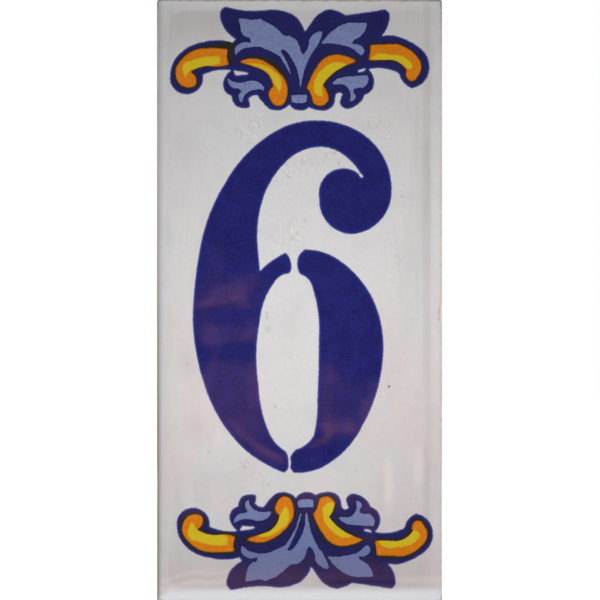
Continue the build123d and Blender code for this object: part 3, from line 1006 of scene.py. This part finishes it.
fired_film("cobalt_numeral", "numeral", cobalt, 1, 0.25, (0.17, 0.17), joined=False)
scrolls = fired_film("orange_scrolls", "ornament_scrolls", orange, 2, 0.4, (0.2, 0.2))
fired_film(
    "navy_outline", "ornament_outline", navy, 1, 0.4, (0.17, 0.17), under_print=scrolls,
    settle=printed_tighter,
)
fired_film(
    "pale_blue_leaves", "ornament_leaves", pale_blue, 2, 0.5, (0.2, 0.23),
    more=VEINS, settle=rounder_leaf, net=FINE_NET,
)
fired_film(
    "yellow_highlights", "ornament_highlights", yellow, 3, 0.0, (0.25, 0.55),
    within="ornament_scrolls", settle=run_along, net=FINE_NET,
)

# %% [markdown]
# ## Camera
# The photograph is taken straight from the front, and the tile fills its height. A long lens at a
# metre and a half gives that view with no visible perspective.

# %% Camera straight on
IMAGE_HEIGHT = 149.47 * MM
CAMERA_DISTANCE = 1.5
CAMERA_SIDE = 0.125 * MM
CAMERA_RISE = 0.12 * MM
SENSOR = 36.0

camera_data = bpy.data.cameras.new("camera")
camera_data.sensor_width = SENSOR
camera_data.lens = SENSOR * CAMERA_DISTANCE / IMAGE_HEIGHT
camera = new_object("camera", camera_data)
camera.location = (CAMERA_SIDE, tile_low.y - CAMERA_DISTANCE, CAMERA_RISE)
camera.rotation_euler = (math.radians(90), 0, 0)
bpy.context.scene.camera = camera
print(f"Lens {camera_data.lens:.0f} mm")

# %% [markdown]
# ## Floor, light and what the glaze reflects
# The tile stands on a plain floor in a white room that is brighter on the right. A soft spot from
# there lights the middle of the tile most, and a lamp behind it keeps the back readable. Glossy
# ware mirrors what stands in front of it, so a black card stands behind the camera. Dim warm
# patches on the card give the brownish gleams in the lower half of the glaze, and a light panel on
# the floor gives the bottom edge its bright band. Both act on reflections only.

# %% Floor and white room
AMBIENT = 0.40
AMBIENT_LEAN = 0.5
FLOOR_GREY, FLOOR_ROUGHNESS = 0.8, 0.9
FLOOR_FRONT, FLOOR_BACK, FLOOR_SIDE = -0.10, 3.0, 3.0


def plane(name, corners, material):
    """Rectangle for the stage."""
    mesh = bpy.data.meshes.new(name)
    mesh.from_pydata(corners, [], [(0, 1, 2, 3)])
    mesh.materials.append(material)
    stage = new_object(name, mesh)
    return stage


def level(half_width, front, back, z):
    """Corners of a level rectangle."""
    sides = ((-half_width, front), (half_width, front), (half_width, back), (-half_width, back))
    return [(x, y, z) for x, y in sides]


def seen_by_eye(tree):
    """1 for rays that the viewer follows, straight or by gloss or glass, and else 0."""
    ray = Wire(tree).add("ShaderNodeLightPath", output="Is Camera Ray")
    seen = ray.at_least(ray.other("Is Glossy Ray"))
    return seen.at_least(ray.other("Is Transmission Ray"))


FLOOR_LOOK = {
    "Base Color": (FLOOR_GREY, FLOOR_GREY, FLOOR_GREY, 1),
    "Roughness": FLOOR_ROUGHNESS,
    "Emission Strength": 1.0,
}
floor_material, _ = new_material("pale_floor", **FLOOR_LOOK)
floor_glow = seen_by_eye(floor_material.node_tree) * (1 - FLOOR_GREY * AMBIENT)
dress(floor_material, emission_color=floor_glow)
plane("floor", level(FLOOR_SIDE, FLOOR_FRONT, FLOOR_BACK, tile_low.z), floor_material)
print(f"Floor at {tile_low.z / MM:.1f} mm")

world = bpy.data.worlds.new("white_room")
bpy.context.scene.world = world
world.use_nodes = True
background = world.node_tree.nodes["Background"]
background.inputs["Color"].default_value = (1, 1, 1, 1)
direction = Wire(world.node_tree).add("ShaderNodeTexCoord", output="Generated")
ambient = (direction.split() * AMBIENT_LEAN + 1) * AMBIENT
seen = seen_by_eye(world.node_tree)
strength = seen + (1 - seen) * ambient
world.node_tree.links.new(strength.socket, background.inputs["Strength"])

# %% Lamps
SPOT_POWER, SPOT_CONE, SPOT_SIZE = 40.0, math.radians(11.6), 0.08
SPOT_PLACE, SPOT_TARGET = (0.47, -0.88, 0.03), (-0.006, 0, -0.008)
BACK_POWER, BACK_SIZE, BACK_PLACE = 9.0, 0.5, (-0.5, 0.95, 0.25)


def lamp(name, kind, location, target, power):
    """Lamp that points from its place to a target. Neither camera nor gloss shows it."""
    new = new_object(name, bpy.data.lights.new(name, kind))
    new.location = location
    new.rotation_euler = (Vector(target) - Vector(location)).to_track_quat("-Z", "Y").to_euler()
    new.data.energy = power
    new.visible_camera = False
    new.visible_glossy = False
    return new


spot = lamp("soft_spot", "SPOT", SPOT_PLACE, SPOT_TARGET, SPOT_POWER)
spot.data.spot_size = SPOT_CONE
spot.data.spot_blend = 1.0
spot.data.shadow_soft_size = SPOT_SIZE

back_lamp = lamp("back_lamp", "AREA", BACK_PLACE, (0, 0, 0), BACK_POWER)
back_lamp.data.size = BACK_SIZE

print("Lamps:", spot.name, back_lamp.name)

# %% [markdown]
# The patches on the card are drawn where the tile mirrors them: their places and half sizes below
# are in millimetres on the front of the tile, and `MIRRORED` is how much larger they are on the
# card. Each one is a soft oval that may lean, with its brightness last. A noise bends them all a
# little, and another makes them mottled.

# %% Card and panel for the reflections
CARD_DISTANCE = CAMERA_DISTANCE + 0.15
CARD_LEFT, CARD_RIGHT, CARD_LOW, CARD_HIGH = -2.2, 1.6, -0.185, 0.32
MIRRORED = 1 + CARD_DISTANCE / CAMERA_DISTANCE
WARM = (1.0, 0.36, 0.1, 1)
GLEAMS = [
    (-17.8, 1.7, 6.5, 2, 0.25, 0.8), (-24.5, 0.5, 4.5, 1.6, 0.2, 0.6),
    (-14, 0, 2.8, 2.6, -0.8, 0.45), (-19.3, 1, 12, 4, 0, 0.3), (-21.3, 7.5, 2.6, 5.5, 0, 0.25),
    (-24, -4, 4.5, 3.5, 0, 0.2), (-17.3, -8.5, 9, 2.8, 0, 0.55), (-11.6, -7.5, 2.2, 2.6, 0, 0.5),
    (-21.8, -11.2, 2.2, 6.5, 0, 0.5), (-16.8, -27, 13, 13.5, 0, 0.65),
    (-15.2, -12, 5.5, 2.2, 0.1, -0.4), (-23.5, -15, 2.8, 3, 0.8, -0.45),
    (-22.8, -19.4, 2.2, 2.6, -0.4, 0.5), (-11.3, -20, 1.7, 7.5, 0, 0.45),
    (-14.8, -33.6, 4.4, 2.2, -0.9, 0.65), (-13, -30, 1.2, 3, 0, 0.35),
    (-8.2, -39.2, 4.4, 1.8, -0.45, 1.6), (6.3, -26, 2.2, 12, 0, 0.4),
    (7.1, -18.7, 2.2, 2.2, 0, 0.4), (9.3, -20, 3, 1.6, -1, 0.3), (18.5, -22.7, 2, 3.2, 0, 0.75),
    (17, -27.6, 2.4, 3.2, 0, 0.85), (9.1, -31.1, 6, 3, 0, 0.75), (5.9, -31.4, 2.2, 2.4, 0, 0.4),
    (12.6, -31.4, 1.6, 2.8, 0, 0.65), (4.6, -35.4, 3, 1.9, 0.6, 0.8), (11.3, -27.4, 9, 9, 0, 0.25),
    (0, -73, 60, 8, 0, 1), (4.5, -48.2, 8.5, 2.2, 0, 0.7), (32.2, -58.5, 2.8, 7, 0, 0.8),
    (17.5, -54, 2.6, 4.5, 0, 0.7), (-26.5, -52.5, 4, 1.8, 0, 0.6), (-30, -30, 7, 18, 0, 0.35),
    (29, -26, 7, 16, 0, 0.4), (-1.5, -20, 7, 15, 0, 0.35), (0, -48, 34, 5, 0, 0.3),
]
BEND, BEND_SIZE, MOTTLE_SIZE = (2.4, 0, 2.0), 5.0, 1.6
OVAL_EDGE = (1.3, 0.2)
PANEL_BACK, PANEL_MIDDLE, PANEL_START, PANEL_FRONT = -0.0071, -0.028, -0.060, -0.102
PANEL_HALF_WIDTH, PANEL_LIFT = 0.05, 0.05 * MM
BLACK_GLOWING = {
    "Base Color": (0, 0, 0, 1), "Roughness": 1.0,
    "Specular IOR Level": 0.0, "Emission Strength": 1.0,
}
PANEL_TINT = (0.92, 1.00, 1.14, 1)


def for_reflections(stage):
    for ray in ("camera", "diffuse", "shadow", "transmission"):
        setattr(stage, f"visible_{ray}", False)


def gleam_pattern(place):
    """Brightness of the patches on the card."""
    mirrored = place.scaled((1 / MIRRORED, 0, 1 / MIRRORED))
    bend = mirrored.scaled((0.7, 0, 1)).noise(BEND_SIZE, 20.0, 3.0, output=1).scaled(BEND)
    split = mirrored.vectors("ADD", bend).split()
    total = 0.0
    for x, z, half_width, half_height, lean, glow in GLEAMS:
        across = split - (x + BEND[0] / 2)
        along = (split.other("Z") - (z + BEND[2] / 2) - across * lean) * (1 / half_height)
        across = across * (1 / half_width)
        total = (across * across + along * along).climb(*OVAL_EDGE) * glow + total
    return (total * (mirrored.noise(MOTTLE_SIZE, 21.0, 3.0) * 0.9 + 0.55)).at_least(0.0)


def tinted(glow, colour):
    """Colour times a brightness, which may be above 1."""
    inputs = {0: colour[:3], "Scale": glow}
    return glow.add("ShaderNodeVectorMath", {"operation": "SCALE"}, inputs)


card_material, card_place = new_material("card_with_gleams", **BLACK_GLOWING)
dress(card_material, emission_color=tinted(gleam_pattern(card_place), WARM))
card_y = tile_low.y - CARD_DISTANCE
card = plane(
    "black_card",
    [(CARD_LEFT, card_y, CARD_LOW), (CARD_LEFT, card_y, CARD_HIGH),
     (CARD_RIGHT, card_y, CARD_HIGH), (CARD_RIGHT, card_y, CARD_LOW)],
    card_material,
)
for_reflections(card)

panel_material, panel_place = new_material("floor_panel", **BLACK_GLOWING)
nearness = panel_place.split("Y") * MM
lit = nearness.climb(PANEL_START, PANEL_MIDDLE)
glow = lit * 1.3 + nearness.climb(PANEL_MIDDLE, PANEL_BACK) * 0.7
dress(panel_material, emission_color=lit.mix(WARM, tinted(glow, PANEL_TINT)))
panel = plane(
    "floor_panel", level(PANEL_HALF_WIDTH, PANEL_FRONT, PANEL_BACK, tile_low.z + PANEL_LIFT),
    panel_material,
)
for_reflections(panel)
print("Patches on the card:", len(GLEAMS))

# %% [markdown]
# ## Finish
# The render uses the Standard view transform.

# %% View transform
bpy.context.scene.view_settings.view_transform = "Standard"
